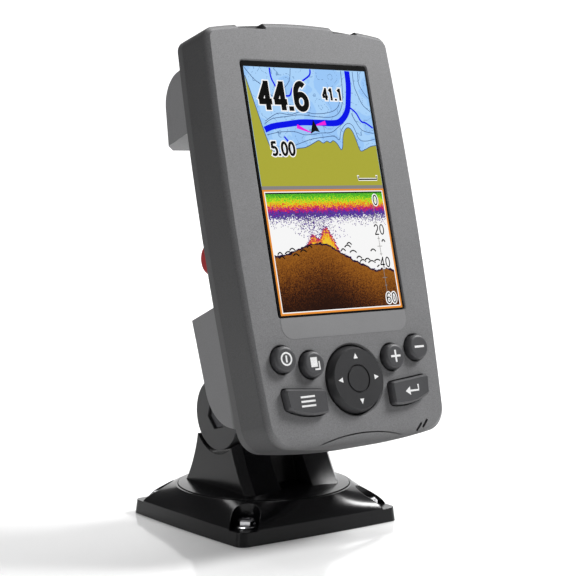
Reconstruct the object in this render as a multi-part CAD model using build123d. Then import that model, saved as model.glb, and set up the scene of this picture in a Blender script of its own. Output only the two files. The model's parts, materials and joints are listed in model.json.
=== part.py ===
from build123d import *
import os
from math import atan2, cos, degrees, radians, sin

# Fish finder: a portrait display head on a quick-release tilt and swivel bracket.
# Millimetres and degrees. +Z up, the screen faces -Y, the origin is the centre of the base's underside.

# Head: its own frame has X across, Y back from the face and Z up the face.
rest_tilt = 14.5
face_y = -42.3
face_z = 128.6
half_width = 46.5
top_corner = (45.0, 71.0)
bottom_corner = (43.4, -88.6)
top_crown = 74.8
bottom_crown = -92.4
side_middle_z = -8.0
top_corner_radius = 5.0
bottom_corner_radius = 10.0
bezel_depth = 16.8
rim_back = 21.5
head_depth = 44.0
wall = 2.2
face_thickness = 2.4
edge_chamfer = 1.9
rim_chamfer = 1.5
roll_top = -84.5
roll_depth = 4.5
spigot_front = 9.0
spigot_inset = 2.35
spigot_wall = 1.6
seal_front = 7.6
post_radius = 3.2
boss_radius = 3.4

# Display
window_width = 62.0
window_height = 99.7
window_z = 8.55
window_bevel = 0.6

# Keys: travel and the caps' places on the face
key_travel = 1.0
key_proud = 2.9
round_key_radius = 4.95
round_hole_radius = 5.45
round_key_places = {
    "power_key": (-32.7, -57.0),
    "pages_key": (-19.9, -59.8),
    "zoom_in_key": (19.9, -59.8),
    "zoom_out_key": (32.7, -57.0),
}
wide_key_sides = {"menu_key": -1, "enter_key": 1}
key_gap = 0.45
flange_lip = 0.8
flange_front = 2.75
flange_back = 3.4
pad_z = -67.0
pad_radius = 13.0
pad_top_radius = 11.6
pad_hole_radius = 13.6
pad_proud = 2.7

# Rear humps: full depth in the middle, bevelled towards the sides
hump_half_width = 43.0
upper_bevel = 5.0
lower_bevel = 3.6
channel_half_width = 27.0

# Cable socket on the upper hump
socket_z = 44.5
socket_radius = 6.5
socket_flange_radius = 7.9
socket_face = 46.0
bore_radius = 5.3
bore_floor = 39.3
pin_radius = 0.7
pin_places = [(-2.6, 0), (2.6, 0), (0, 2.6), (0, -2.6), (0, 0)]

# Bracket
pivot_z = 45.0
knuckle_radius = 14.6
knuckle_inner = 9.65
knuckle_outer = 23.5
hub_radius = 13.0
hub_half_width = 8.6
bolt_radius = 3.0
bolt_hole_radius = 3.05
shoulder_outer = 23.8
saddle_radius = 16.2
button_y = 30.0
button_z = -12.5
button_radius = 6.3
button_outer = 38.2
button_inner = 33.4
button_travel = 2.5
flank_half_width = 34.5
cradle_front = 23.2
cradle_back = 38.5
cradle_top = 32.0
flank_bottom = -31.0
neck_half_width = 26.0
neck_bottom = -79.5

# Base
base_half = 39.85
base_flare = 0.65
base_wall_height = 6.0
base_rim_height = 14.2
base_rim_radius = 36.6
swivel_radius = 35.4
swivel_floor = 11.9
running_gap = 0.3
swivel_hole_radius = 12.0
swivel_boss_radius = 11.95
screw_spacing = 62.0
screw_hole_radius = 2.3
screw_recess_radius = 5.6
screw_recess_floor = 5.5
screw_boss_radius = 7.6

head_place = Location((0, face_y, face_z), (-rest_tilt, 0, 0))
tilt_cos = cos(radians(rest_tilt))
tilt_sin = sin(radians(rest_tilt))
pivot_head_y = -face_y * tilt_cos - (pivot_z - face_z) * tilt_sin
pivot_head_z = -face_y * tilt_sin + (pivot_z - face_z) * tilt_cos


def save(node, shape, place=None):
    """Write one sub-part, moved from the head's frame into the row's frame if it needs it."""
    placed = place * shape if place is not None else shape
    placed.label = node
    export_step(placed, f"parts/{node}.step")


def group(solids):
    return Compound(children=list(solids))


def block(x0, x1, y0, y1, z0, z1):
    middle = Pos((x0 + x1) / 2, (y0 + y1) / 2, (z0 + z1) / 2)
    return middle * Box(x1 - x0, y1 - y0, z1 - z0)


def rod_y(radius, y0, y1, x=0.0, z=0.0):
    """Round bar along the depth."""
    return Pos(x, (y0 + y1) / 2, z) * Rot(90, 0, 0) * Cylinder(radius, y1 - y0)


def rod_x(radius, x0, x1, y=0.0, z=0.0):
    """Round bar from side to side."""
    return Pos((x0 + x1) / 2, y, z) * Rot(0, 90, 0) * Cylinder(radius, x1 - x0)


def hex_x(radius, x0, x1, y=0.0, z=0.0):
    """Hexagonal bar from side to side, by its corner radius."""
    flat = Plane.YZ.offset(x0) * RegularPolygon(radius, 6)
    return Pos(0, y, z) * extrude(flat, amount=x1 - x0, dir=(1, 0, 0))


def slab(outline, y0, y1):
    """Solid between two depths from an outline drawn on the face (across, up)."""
    return extrude(Plane.XZ.offset(-y0) * outline, amount=y1 - y0, dir=(0, 1, 0))


def side_slab(outline, x0, x1):
    """Solid between two widths from an outline drawn from the side (back, up)."""
    return extrude(Plane.YZ.offset(x0) * outline, amount=x1 - x0, dir=(1, 0, 0))


def flared_cut(outline, depth):
    """Opening bevelled at 45 degrees, with the outline at its depth and wider at the face."""
    return extrude(Plane.XZ.offset(-depth) * outline, amount=depth + 0.2, taper=-45)


def face_outline(inset=0.0):
    """Outline of the head: four long arcs with rounded corners."""
    top_x = top_corner[0] - inset
    top_z = top_corner[1] - inset
    low_x = bottom_corner[0] - inset
    low_z = bottom_corner[1] + inset
    side_x = half_width - inset
    arcs = [
        ThreePointArc((top_x, top_z), (side_x, side_middle_z), (low_x, low_z)),
        ThreePointArc((low_x, low_z), (0, bottom_crown + inset), (-low_x, low_z)),
        ThreePointArc((-low_x, low_z), (-side_x, side_middle_z), (-top_x, top_z)),
        ThreePointArc((-top_x, top_z), (0, top_crown - inset), (top_x, top_z)),
    ]
    outline = make_face(arcs)
    corners = outline.vertices().sort_by(Axis.Y)
    outline = fillet(corners[:2], max(bottom_corner_radius - inset, 1.0))
    corners = [v for v in outline.vertices() if v.Y > 0]
    return fillet(corners, max(top_corner_radius - inset, 1.0))


def window_outline(grow=0.0, radius=1.0):
    return Pos(0, window_z) * RectangleRounded(window_width + 2 * grow, window_height + 2 * grow, radius)


def wide_key_outline(side, grow=0.0):
    """Menu or enter key: slanted top, curved bottom, tapered outer end."""
    top = Line((side * 15.5, -69.2), (side * 36.0, -67.4))
    outer = Line((side * 36.0, -67.4), (side * 35.0, -75.8))
    bottom = ThreePointArc((side * 35.0, -75.8), (side * 25.6, -78.9), (side * 15.6, -78.7))
    inner = Line((side * 15.6, -78.7), (side * 15.5, -69.2))
    outline = make_face([top, outer, bottom, inner])
    outline = fillet(outline.vertices(), 1.8)
    return offset(outline, amount=grow) if grow else outline


# ---------------------------------------------------------------- head casing
def front_bezel():
    """Front casing with its window, key holes, cover notches and screw posts."""
    shell = slab(face_outline(), 0, bezel_depth)
    shell = chamfer(shell.faces().sort_by(Axis.Y)[0].edges(), edge_chamfer)
    shell -= slab(face_outline(wall), face_thickness, bezel_depth + 1)
    shell += block(-38, 38, face_thickness - 0.1, seal_front - 1.2, -91, -88) & slab(face_outline(1), 0, 10)
    shell -= bottom_roll()
    shell -= slab(window_outline(), -1, face_thickness + 1)
    shell -= flared_cut(window_outline(), window_bevel)
    for x, z in round_key_places.values():
        shell -= rod_y(round_hole_radius, -1, face_thickness + 1, x, z)
        shell -= flared_cut(Pos(x, z) * Circle(round_hole_radius), 0.35)
    for side in wide_key_sides.values():
        shell -= slab(wide_key_outline(side), -1, face_thickness + 1)
    shell -= rod_y(pad_hole_radius, -1, face_thickness + 1, 0, pad_z)
    shell -= flared_cut(Pos(0, pad_z) * Circle(pad_hole_radius), 0.6)
    for side in (-1, 1):
        x0, x1 = sorted((side * 16.5, side * 29.5))
        shell -= block(x0, x1, -1, 4.5, 71.4, 80)
    shell -= slab(lip_outline(), -1, 1.5) - slab(lip_outline(0.5), -2, 2)
    for x, z in ((29.0, -88.0), (32.0, -87.0)):
        shell -= slab(Pos(x, z) * Rot(0, 0, -38) * Rectangle(1.0, 3.8), -1, 2.2)
    for x, z in housing_screw_places():
        post = rod_y(post_radius, face_thickness, bezel_depth - 0.2, x, z)
        shell += post - rod_y(1.25, 7, bezel_depth, x, z)
    return shell


def bottom_roll():
    """Cutter that rolls the face over into the underside."""
    curve = ThreePointArc((0, roll_top), (1.0, -89.3), (roll_depth, -92.6))
    outside = Polyline((roll_depth, -92.6), (roll_depth, -100), (-1, -100), (-1, roll_top), (0, roll_top))
    return side_slab(make_face([curve] + outside.edges()), -60, 60)


def lip_outline(inset=0.0):
    """Thumb lip in the middle of the bottom edge, drawn on the face."""
    reach = 23.0 - inset * 2
    arc = ThreePointArc((-reach, -90.7), (0, -87.2 - inset), (reach, -90.7))
    return make_face([arc] + Polyline((reach, -90.7), (reach, -100), (-reach, -100), (-reach, -90.7)).edges())


def housing_screw_places():
    return [(side * x, z) for side in (-1, 1) for x, z in ((38.5, 65.0), (40.6, -10.0), (35.9, -82.4))]


def upper_profile(bevel, inset=0.0):
    """Side outline of the upper hump (back, up), at the middle or bevelled in at the side."""
    front = rim_back - 2.5
    low_front = Vector(front, 36.9 + inset)
    low_back = Vector(head_depth - bevel - inset, 34.6 + inset + bevel * 0.09)
    high_back = Vector(42.3 - bevel - inset, 48.5)
    crest = Vector(38.0 - (bevel + inset) * 0.92, 58.8 - bevel * 0.3 - inset * 0.7)
    crown = Vector(29.0 - bevel, 63.9 - bevel * 0.54 - inset)
    high_front = Vector(front, 65.0 - bevel * 0.6 - inset)
    edges = [
        Line(low_front, low_back),
        Line(low_back, high_back),
        ThreePointArc(high_back, crest, crown),
        Line(crown, high_front),
        Line(high_front, low_front),
    ]
    return make_face(edges)


def lower_profile(bevel, inset=0.0):
    """Side outline of the lower humps (back, up), at the middle or bevelled in at the side."""
    front = rim_back - 2.5
    high_front = Vector(front, -31.5 - inset)
    high_back = Vector(head_depth - bevel - inset, -34.9 - inset + bevel * 0.1)
    low_back = Vector(41.6 - bevel - inset, -61.5)
    heel = Vector(37.4 - bevel - inset * 0.7, -72.8 + inset * 0.7)
    low_front = Vector(front, -78.9 + inset)
    edges = [
        Line(high_front, high_back),
        Line(high_back, low_back),
        ThreePointArc(low_back, heel, low_front),
        Line(low_front, high_front),
    ]
    return make_face(edges)


def hump(profile, bevel, half_width, inset=0.0):
    """Hump between two side planes: straight in the middle, bevelled towards each side."""
    middle = half_width - bevel
    solid = side_slab(profile(0, inset), -middle, middle)
    for side in (-1, 1):
        inner = Plane.YZ.offset(side * middle) * profile(0, inset)
        outer = Plane.YZ.offset(side * half_width) * profile(bevel, inset)
        solid += loft([inner, outer], ruled=True)
    return solid


def rear_housing():
    """Rear casing: rim, back plate, humps, spigot, catches and socket hole."""
    rim = slab(face_outline(), bezel_depth, rim_back)
    rim = chamfer(rim.faces().sort_by(Axis.Y)[-1].edges(), rim_chamfer)
    upper = hump(upper_profile, upper_bevel, hump_half_width)
    lower = hump(lower_profile, lower_bevel, hump_half_width)
    lower -= block(-channel_half_width, channel_half_width, 10, 60, -90, -20)
    shell = rim + upper + lower
    shell -= slab(face_outline(3.2), bezel_depth - 1, rim_back - wall)
    shell -= hump(upper_profile, upper_bevel, hump_half_width - wall, wall)
    lower_cavity = hump(lower_profile, lower_bevel, hump_half_width - wall, wall)
    lower_cavity -= block(-channel_half_width - wall, channel_half_width + wall, 10, 60, -90, -20)
    shell -= lower_cavity
    spigot = slab(face_outline(spigot_inset), spigot_front, bezel_depth + 1)
    spigot -= slab(face_outline(spigot_inset + spigot_wall), spigot_front - 1, bezel_depth + 2)
    for x, z in housing_screw_places():
        spigot -= rod_y(3.6, spigot_front - 1, bezel_depth, x, z)
    shell += spigot
    for x, z in housing_screw_places():
        boss = rod_y(boss_radius, bezel_depth, rim_back - 1, x, z)
        shell += boss
        shell -= rod_y(1.7, bezel_depth - 1, rim_back + 1, x, z)
        shell -= rod_y(3.0, rim_back - 2.4, rim_back + 30, x, z)
    for side in (-1, 1):
        shell += catch_post(side)
    shell -= rod_y(socket_radius + 0.1, 36, head_depth + 1, 0, socket_z)
    return shell


def catch_post(side):
    """Post that stands off the back plate into the cradle, grooved for the release latch."""
    x0, x1 = sorted((side * 27.0, side * 30.5))
    post = block(x0, x1, rim_back - 1, 33.0, button_z - 4, button_z + 4)
    g0, g1 = sorted((side * 26.5, side * 28.0))
    return post - block(g0, g1, 27.0, 31.5, button_z - 5, button_z + 5)


def housing_seal():
    outer = slab(face_outline(2.3), seal_front, spigot_front)
    seal = outer - slab(face_outline(3.9), 7, spigot_front + 1)
    for x, z in housing_screw_places():
        seal -= rod_y(3.4, 7, spigot_front + 1, x, z)
    return seal


def housing_screws():
    screws = []
    for x, z in housing_screw_places():
        head = rod_y(2.8, rim_back - 2.4, rim_back - 0.8, x, z)
        shank = rod_y(1.2, 9.0, rim_back - 2.4, x, z)
        drive = rod_y(1.1, rim_back - 1.6, rim_back, x, z)
        screws.append(head + shank - drive)
    return group(screws)


# ---------------------------------------------------------------- display and electronics
def lens_window():
    return slab(window_outline(-0.15, 0.9), 0.2, 2.3)


def window_gasket():
    ring = slab(window_outline(2.6, 1.5), 2.45, 3.05)
    return ring - slab(window_outline(-1.0, 0.8), 2, 4)


def lcd_panel():
    return slab(window_outline(2.4, 1.0), 3.1, 4.9)


def light_guide():
    return slab(window_outline(1.6, 1.0), 4.95, 6.4)


def led_strip():
    strip = block(-26, 26, 6.45, 7.0, -37.5, -34)
    for step in range(8):
        x = -22.75 + step * 6.5
        strip += block(x - 1.2, x + 1.2, 7.0, 7.5, -37, -35)
    return strip


def lcd_tray():
    """Metal tray that holds the glass and the light guide."""
    tray = slab(window_outline(3.0, 1.2), 3.4, 8.6)
    tray -= slab(window_outline(2.45, 1.0), 2, 6.42)
    tray -= slab(window_outline(-3.0, 2.0), 6, 8.0)
    for z in (-15, 10, 35):
        tray -= block(-18, 18, 7, 9, z - 7, z + 7)
    return tray


def main_board():
    board = slab(Pos(0, 12) * RectangleRounded(74, 100, 3), 11.0, 12.6)
    for x, z in board_screw_places():
        board -= rod_y(1.6, 10, 14, x, z)
    return board


def board_screw_places():
    return [(x, z) for x in (-34, 34) for z in (-34, 58)]


def board_screws():
    screws = []
    for x, z in board_screw_places():
        screws.append(rod_y(2.6, 12.6, 14.2, x, z) + rod_y(1.4, 8.7, 12.6, x, z))
    return group(screws)


def board_chips():
    sizes = [(-14, 6, 14, 14, 1.6), (8, 4, 12, 10, 1.4), (8, -12, 9, 9, 1.2), (-16, -14, 10, 7, 1.8)]
    sizes += [(20, 30, 8, 12, 2.0), (-2, 30, 7, 7, 1.2)]
    return group(block(x - w / 2, x + w / 2, 12.6, 12.6 + t, z - h / 2, z + h / 2) for x, z, w, h, t in sizes)


def shield_can():
    can = block(-34, -20, 12.6, 16.2, 22, 44)
    return can - block(-33.6, -20.4, 12.5, 15.8, 22.4, 43.6)


def gps_patch():
    return block(-9, 9, 13.5, 17.5, 40, 58) + block(-10, 10, 12.6, 13.5, 39, 59)


def buzzer():
    return rod_y(5.0, 12.6, 16.6, 27, 4) - rod_y(1.0, 16, 17, 27, 4)


def display_ribbon():
    """Flat cable that folds from the glass round to the board."""
    route = Polyline((3.6, -45.6), (10.4, -45.6), (10.4, -30.0))
    strip = offset(route, amount=0.15, side=Side.BOTH)
    return side_slab(make_face(strip.edges()), -10, 10)


def key_board_outline():
    return Pos(0, -64.2) * RectangleRounded(76, 29.6, 3)


def keypad_mat():
    mat = slab(key_board_outline(), 4.7, 5.9)
    places = list(round_key_places.values()) + [(-25.5, -73), (25.5, -73)]
    places += [(0, pad_z + 8), (0, pad_z - 8), (-8, pad_z), (8, pad_z)]
    for x, z in places:
        mat += rod_y(1.8, 5.9, 6.7, x, z)
    return mat


def key_board():
    return slab(key_board_outline(), 7.2, 8.8)


def connector_socket():
    """Round socket whose flange seats on the hump's back face."""
    body = rod_y(socket_radius, 33, socket_face - 1, 0, socket_z)
    body += rod_y(socket_flange_radius, socket_face - 1.1, socket_face, 0, socket_z)
    body -= rod_y(bore_radius, bore_floor, socket_face + 1, 0, socket_z)
    body -= rod_y(bore_radius - 0.9, bore_floor - 2.3, bore_floor + 1, 0, socket_z)
    for x, z in pin_places:
        body -= rod_y(pin_radius + 0.02, 32, bore_floor, x, socket_z + z)
    return body


def connector_seal():
    ring = rod_y(socket_flange_radius - 0.2, head_depth, head_depth + 0.9, 0, socket_z)
    return ring - rod_y(socket_radius + 0.02, 43, 46, 0, socket_z)


def connector_pins():
    return group(rod_y(pin_radius, 31, bore_floor - 0.3, x, socket_z + z) for x, z in pin_places)


# ---------------------------------------------------------------- keys
def round_key(x, z):
    cap = rod_y(round_key_radius, -key_proud, 3.0, x, z)
    cap = fillet(cap.faces().sort_by(Axis.Y)[0].edges(), 1.3)
    return cap + rod_y(round_hole_radius + flange_lip, flange_front, flange_back, x, z)


def wide_key(side):
    cap = slab(wide_key_outline(side, -key_gap), -key_proud, 3.0)
    cap = chamfer(cap.faces().sort_by(Axis.Y)[0].edges(), 0.8)
    return cap + slab(wide_key_outline(side, flange_lip), flange_front, flange_back)


def cursor_pad():
    """Round rocker pad: tapered rim, ring groove and a stem on its pivot."""
    pad = rod_y(pad_radius, 0.6, 2.3, 0, pad_z)
    cone = Cone(pad_radius, pad_top_radius, pad_proud + 0.6)
    pad += Pos(0, (0.6 - pad_proud) / 2, pad_z) * Rot(90, 0, 0) * cone
    pad -= rod_y(5.5, -3, -pad_proud + 0.5, 0, pad_z) - rod_y(4.8, -4, 0, 0, pad_z)
    return pad + rod_y(3.2, 2.3, 3.1, 0, pad_z)


def cursor_pivot():
    return rod_y(3.2, 3.4, 4.2, 0, pad_z) - rod_y(1.6, 3, 5, 0, pad_z)


# ---------------------------------------------------------------- quick-release cradle
def cradle_frame():
    """Cradle that the head clips onto, with two knuckle arms for the tilt joint."""
    body = block(-flank_half_width, flank_half_width, cradle_front, cradle_back, flank_bottom, cradle_top)
    corners = body.edges().filter_by(Axis.Z).sort_by(Axis.Y)[-2:]
    body = chamfer(corners, 3.5)
    top_edges = body.edges().filter_by(Axis.Y).sort_by(Axis.Z)[-2:]
    body = fillet(top_edges, 4.0)
    body += block(-neck_half_width, neck_half_width, cradle_front, cradle_back, neck_bottom, flank_bottom + 1)
    body -= block(-19, 19, 27, 60, -2, 26)
    body -= block(-7.5, 7.5, 27, 60, -74, -24)
    for side in (-1, 1):
        x0, x1 = sorted((side * knuckle_inner, side * knuckle_outer))
        body += rod_x(knuckle_radius, x0, x1, pivot_head_y, pivot_head_z)
        body += block(x0, x1, cradle_back - 2, pivot_head_y, pivot_head_z - 9, pivot_head_z + knuckle_radius)
        body -= latch_chamber(side)
    body -= block(-20.2, 20.2, 25.5, 34, button_z - 4.2, button_z + 4.2)
    body -= rod_x(bolt_hole_radius, -40, 40, pivot_head_y, pivot_head_z)
    for side in (-1, 1):
        x0, x1 = sorted((side * 18.9, side * 30))
        body -= hex_x(6.6, x0, x1, pivot_head_y, pivot_head_z)
    return body


def latch_chamber(side):
    """Room in the cradle's flank for a release button, open in front for the catch post."""
    x0, x1 = sorted((side * 20.0, side * 32.3))
    room = block(x0, x1, 20, 36.6, button_z - 7.0, button_z + 7.0)
    h0, h1 = sorted((side * 30.0, side * 36.0))
    return room + rod_x(button_radius + 0.3, h0, h1, button_y, button_z)


def release_button(side):
    """Pinch button: round cap, two prongs past the catch post and the latch bar that joins them."""
    x0, x1 = sorted((side * button_inner, side * button_outer))
    cap = rod_x(button_radius, x0, x1, button_y, button_z)
    outer = cap.faces().sort_by(Axis.X)[-1 if side > 0 else 0]
    cap = fillet(outer.edges(), 1.4)
    for step in (-1, 1):
        z0, z1 = sorted((button_z + step * 4.6, button_z + step * 6.1))
        p0, p1 = sorted((side * 23.2, side * (button_inner + 0.5)))
        cap += block(p0, p1, 28.5, 31.5, z0, z1)
    b0, b1 = sorted((side * 23.2, side * 26.7))
    return cap + block(b0, b1, 28.5, 31.5, button_z - 6.1, button_z + 6.1)


def latch_spring():
    """Bowed leaf that pushes both release buttons outwards."""
    outer = ThreePointArc((-19.8, 31.2), (0, 27.4), (19.8, 31.2))
    inner = ThreePointArc((-19.8, 31.8), (0, 28.0), (19.8, 31.8))
    ends = [Line(outer @ 0, inner @ 0), Line(outer @ 1, inner @ 1)]
    leaf = make_face([outer, inner] + ends)
    return Pos(0, 0, button_z - 3) * extrude(leaf, amount=6)


def tilt_bolt():
    shank = rod_x(bolt_radius, -22.0, 21.5, pivot_head_y, pivot_head_z)
    return shank + hex_x(6.2, -22.6, -19.0, pivot_head_y, pivot_head_z)


def tilt_nut():
    nut = hex_x(6.2, 19.0, 22.6, pivot_head_y, pivot_head_z)
    return nut - rod_x(bolt_hole_radius, 18, 24, pivot_head_y, pivot_head_z)


# ---------------------------------------------------------------- yoke
def shoulder_profile():
    """Side outline of a shoulder (back, up): concave front and back, saddle cut for the knuckle."""
    edges = [
        ThreePointArc((-24.5, 13.5), (-18.6, 22.5), (-13.2, 34.4)),
        Line((-13.2, 34.4), (13.4, 35.4)),
        ThreePointArc((13.4, 35.4), (17.0, 24.0), (23.0, 13.5)),
        Line((23.0, 13.5), (-24.5, 13.5)),
    ]
    return make_face(edges) - Pos(0, pivot_z) * Circle(saddle_radius)


def shoulder(side):
    x0, x1 = sorted((side * 8.0, side * shoulder_outer))
    solid = side_slab(shoulder_profile(), x0, x1)
    outer_x = side * shoulder_outer
    front = [e for e in solid.edges() if abs(e.center().X - outer_x) < 0.1 and e.center().Y < -13]
    return chamfer(front, 3.2)


def swivel_yoke():
    """Turntable with the centre post and two shoulders under the knuckles."""
    rim = Line((0, swivel_floor), (swivel_radius, swivel_floor))
    edge = Line((swivel_radius, swivel_floor), (swivel_radius, 14.5))
    crown = ThreePointArc((swivel_radius, 14.5), (19, 15.9), (0, 16.4))
    axis = Line((0, 16.4), (0, swivel_floor))
    yoke = revolve(Plane.XZ * make_face([rim, edge, crown, axis]), Axis.Z)
    yoke += Pos(0, 0, 10.45) * Cylinder(swivel_boss_radius, 3.1)
    post_edges = [
        ThreePointArc((-13.0, 13.5), (-9.6, 24.0), (-9.2, 40.0)),
        Line((-9.2, 40.0), (9.2, 40.0)),
        ThreePointArc((9.2, 40.0), (9.6, 24.0), (13.0, 13.5)),
        Line((13.0, 13.5), (-13.0, 13.5)),
    ]
    yoke += side_slab(make_face(post_edges), -hub_half_width, hub_half_width)
    yoke += rod_x(hub_radius, -hub_half_width, hub_half_width, 0, pivot_z)
    for side in (-1, 1):
        yoke += shoulder(side)
    for side in (-1, 1):
        x0, x1 = sorted((side * hub_half_width, side * 40))
        yoke -= rod_x(saddle_radius, x0, x1, 0, pivot_z)
    yoke -= rod_x(bolt_radius + 0.06, -12, 12, 0, pivot_z)
    for x, y in swivel_screw_places():
        yoke -= Pos(x, y, 10.4) * Cylinder(1.3, 5)
    return yoke


def friction_washers():
    rings = []
    for side in (-1, 1):
        x0, x1 = sorted((side * 8.65, side * 9.35))
        rings.append(rod_x(10, x0, x1, 0, pivot_z) - rod_x(bolt_radius + 0.4, x0 - 1, x1 + 1, 0, pivot_z))
    return group(rings)


def swivel_screw_places():
    return [(8, 0), (-4, 6.93), (-4, -6.93)]


def swivel_washer():
    washer = Pos(0, 0, 8.2) * Cylinder(16, 1.0)
    for x, y in swivel_screw_places():
        washer -= Pos(x, y, 8) * Cylinder(1.6, 4)
    return washer


def swivel_screws():
    screws = []
    for x, y in swivel_screw_places():
        screws.append(Pos(x, y, 7.0) * Cylinder(2.6, 1.4) + Pos(x, y, 10.0) * Cylinder(1.25, 4.8))
    return group(screws)


# ---------------------------------------------------------------- base
def base_outline(middle, shoulder_x, shoulder_y, corner):
    """Closed outline of eight arcs: four bowed sides and four round corners."""
    arcs = []
    for quarter in range(4):
        turn = Rot(0, 0, 90 * quarter)
        side = ThreePointArc((shoulder_x, -shoulder_y), (middle, 0), (shoulder_x, shoulder_y))
        bend = ThreePointArc((shoulder_x, shoulder_y), (corner, corner), (shoulder_y, shoulder_x))
        arcs += [turn * side, turn * bend]
    return make_face(arcs)


def square_outline(inset=0.0):
    return base_outline(base_half - inset, base_half - 0.8 - inset, 35.8 - inset * 0.5, 38.0 - inset * 0.85)


def dome_outline(rise):
    """Outline of the dome from the wall's top (0) to the rim (1), squarish below and round above."""
    blend = rise ** 1.3
    low = (base_half, base_half - 0.8, 35.8, 38.0)
    angle = radians(40)
    high = [base_rim_radius * part for part in (1, cos(angle), sin(angle), cos(radians(45)))]
    values = [start + (end - start) * blend for start, end in zip(low, high)]
    height = base_wall_height + (base_rim_height - base_wall_height) * rise
    return Pos(0, 0, height) * base_outline(*values)


def round_outline(radius):
    return base_outline(radius, radius * cos(radians(40)), radius * sin(radians(40)), radius * cos(radians(45)))


def base_plate():
    """Deck plate: low wall, domed top, recess for the turntable and four screw recesses."""
    wall_ring = loft([square_outline(-base_flare), dome_outline(0)], ruled=True)
    outer = wall_ring + loft([dome_outline(step / 4) for step in range(5)])
    places = [(x, y) for x in (-1, 1) for y in (-1, 1)]
    half = screw_spacing / 2
    low = Pos(0, 0, -1) * square_outline(2.6)
    mid = Pos(0, 0, 4.0) * square_outline(2.8)
    high = Pos(0, 0, 9.2) * round_outline(32.5)
    cavity = loft([low, mid], ruled=True) + loft([mid, high], ruled=True)
    for x, y in places:
        cavity -= Pos(x * half, y * half, 0) * Cylinder(screw_boss_radius, 40)
    plate = outer - cavity
    plate -= Pos(0, 0, 20 + swivel_floor - running_gap) * Cylinder(swivel_radius + running_gap, 40)
    plate -= Cylinder(swivel_hole_radius, 60)
    for x, y in places:
        recess = Pos(0, 0, 20) * Cylinder(screw_recess_radius, 40)
        recess += Pos(10, 0, 20) * Box(20, 2 * screw_recess_radius, 40)
        plate -= Pos(x * half, y * half, screw_recess_floor) * Rot(0, 0, degrees(atan2(y, x))) * recess
        plate -= Pos(x * half, y * half, 0) * Cylinder(screw_hole_radius, 40)
    return plate


def main():
    os.makedirs("parts", exist_ok=True)
    save("base_plate", base_plate())
    for part in (swivel_yoke, friction_washers, swivel_washer, swivel_screws):
        save(part.__name__, part())
    head_parts = (front_bezel, rear_housing, housing_seal, housing_screws, lens_window, window_gasket,
                  lcd_panel, light_guide, led_strip, lcd_tray, main_board, board_screws, board_chips,
                  shield_can, gps_patch, buzzer, display_ribbon, keypad_mat, key_board,
                  connector_socket, connector_seal, connector_pins, cursor_pad, cursor_pivot,
                  cradle_frame, latch_spring, tilt_bolt, tilt_nut)
    for part in head_parts:
        save(part.__name__, part(), head_place)
    for node, (x, z) in round_key_places.items():
        save(node, round_key(x, z), head_place)
    for node, side in wide_key_sides.items():
        save(node, wide_key(side), head_place)
    for node, side in (("release_button_left", -1), ("release_button_right", 1)):
        save(node, release_button(side), head_place)


main()
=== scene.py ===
import json
import math

import bpy
import bmesh
from mathutils import Matrix, Vector


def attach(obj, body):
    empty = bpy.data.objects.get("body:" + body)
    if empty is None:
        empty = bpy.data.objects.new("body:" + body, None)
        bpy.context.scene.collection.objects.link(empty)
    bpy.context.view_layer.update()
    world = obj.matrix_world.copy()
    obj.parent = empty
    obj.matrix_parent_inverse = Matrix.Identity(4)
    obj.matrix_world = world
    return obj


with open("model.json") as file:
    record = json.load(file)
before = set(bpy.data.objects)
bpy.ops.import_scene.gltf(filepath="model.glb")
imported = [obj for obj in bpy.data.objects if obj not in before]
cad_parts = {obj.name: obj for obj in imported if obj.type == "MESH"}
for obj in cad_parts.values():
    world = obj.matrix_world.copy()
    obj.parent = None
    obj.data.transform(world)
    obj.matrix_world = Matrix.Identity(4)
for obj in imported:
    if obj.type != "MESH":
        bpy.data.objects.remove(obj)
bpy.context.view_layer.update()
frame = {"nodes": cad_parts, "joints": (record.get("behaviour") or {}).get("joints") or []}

scene = bpy.context.scene
nodes = frame["nodes"]
joints = {joint["name"]: joint for joint in frame["joints"]}
print("frame loaded:", len(nodes), "CAD nodes")


# the head leans back, so its own axes come from the way it pulls off the cradle
headBack = -Vector(joints["head_pull_off"]["axis"]).normalized()
headAcross = Vector((1, 0, 0))
headUp = headAcross.cross(headBack)
mm = 0.001
crownHeight = 74.8  # top of the casing above the face's middle, in mm
bezelVerts = [v.co for v in nodes["front_bezel"].data.vertices]
faceDepth = min(co.dot(headBack) for co in bezelVerts)
faceMiddle = max(co.dot(headUp) for co in bezelVerts) - crownHeight * mm


def headPoint(x, y, z):
    # millimetres across, back from the face and up the face, to metres in the part's own frame
    return headAcross * (x * mm) + headBack * (faceDepth + y * mm) + headUp * (faceMiddle + z * mm)


headMatrix = Matrix.Translation(headPoint(0, 0, 0)) @ Matrix((
    (headAcross.x * mm, headBack.x * mm, headUp.x * mm, 0),
    (headAcross.y * mm, headBack.y * mm, headUp.y * mm, 0),
    (headAcross.z * mm, headBack.z * mm, headUp.z * mm, 0),
    (0, 0, 0, 1),
))


def onFace(depth=0.0):
    # flat drawings (across, up) laid on the face at a depth, their thickness towards the viewer
    return headMatrix @ Matrix(((1, 0, 0, 0), (0, 0, -1, depth), (0, 1, 0, 0), (0, 0, 0, 1)))


# small helpers for making pieces
def addPiece(name, mesh, material, body, matrix=None, smooth=True):
    if matrix is not None:
        mesh.transform(matrix)
    mesh.materials.clear()
    mesh.materials.append(material)
    for polygon in mesh.polygons:
        polygon.use_smooth = smooth
    piece = bpy.data.objects.new(name, mesh)
    scene.collection.objects.link(piece)
    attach(piece, body)
    return piece


def meshFromBmesh(name, bm):
    bmesh.ops.recalc_face_normals(bm, faces=bm.faces)
    mesh = bpy.data.meshes.new(name)
    bm.to_mesh(mesh)
    bm.free()
    return mesh


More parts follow.
